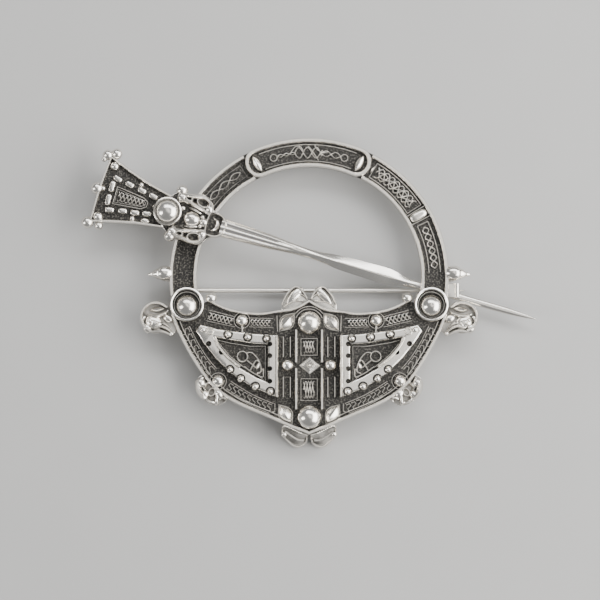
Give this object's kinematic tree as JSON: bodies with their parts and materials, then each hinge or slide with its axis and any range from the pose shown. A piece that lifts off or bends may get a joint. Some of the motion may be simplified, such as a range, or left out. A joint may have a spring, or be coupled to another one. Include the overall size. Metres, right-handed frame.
{
  "type": "penannular brooch",
  "caption": "Cast silver brooch: a closed hoop with a crescent plate of knotwork and domes, a long pin whose loop slides round the hoop, and a hinged needle behind.",
  "frame": {"origin": "middle of the footprint, on the surface that the brooch lies on, face up", "axes": "+Z out of the face, +Y towards the hoop's top cartouche, +X along the needle to its point"},
  "size_m": [0.0816, 0.0555, 0.008],
  "materials": {
    "body_silver": "polished cast silver with darkened recesses",
    "pin_silver": "polished cast silver with darkened recesses",
    "stem_silver": "drawn silver wire, satin",
    "rivet_silver": "silver wire, satin"
  },
  "bodies": {
    "brooch": {"brooch_body": "body_silver", "stem_rivet": "rivet_silver"},
    "pin": {"long_pin": "pin_silver"},
    "stem": {"back_stem": "stem_silver"}
  },
  "joints": [
    {"name": "pin_slide", "type": "hinge", "parent": "brooch", "child": "pin", "pos_m": [0.00001, 0.00275, 0.003], "axis": [0, 0, 1], "range_deg": [-20, 0]},
    {"name": "stem_swing", "type": "hinge", "parent": "brooch", "child": "stem", "pos_m": [-0.02229, 0.00068, 0.00095], "axis": [0, 1, 0], "range_deg": [0, 70]}
  ]
}
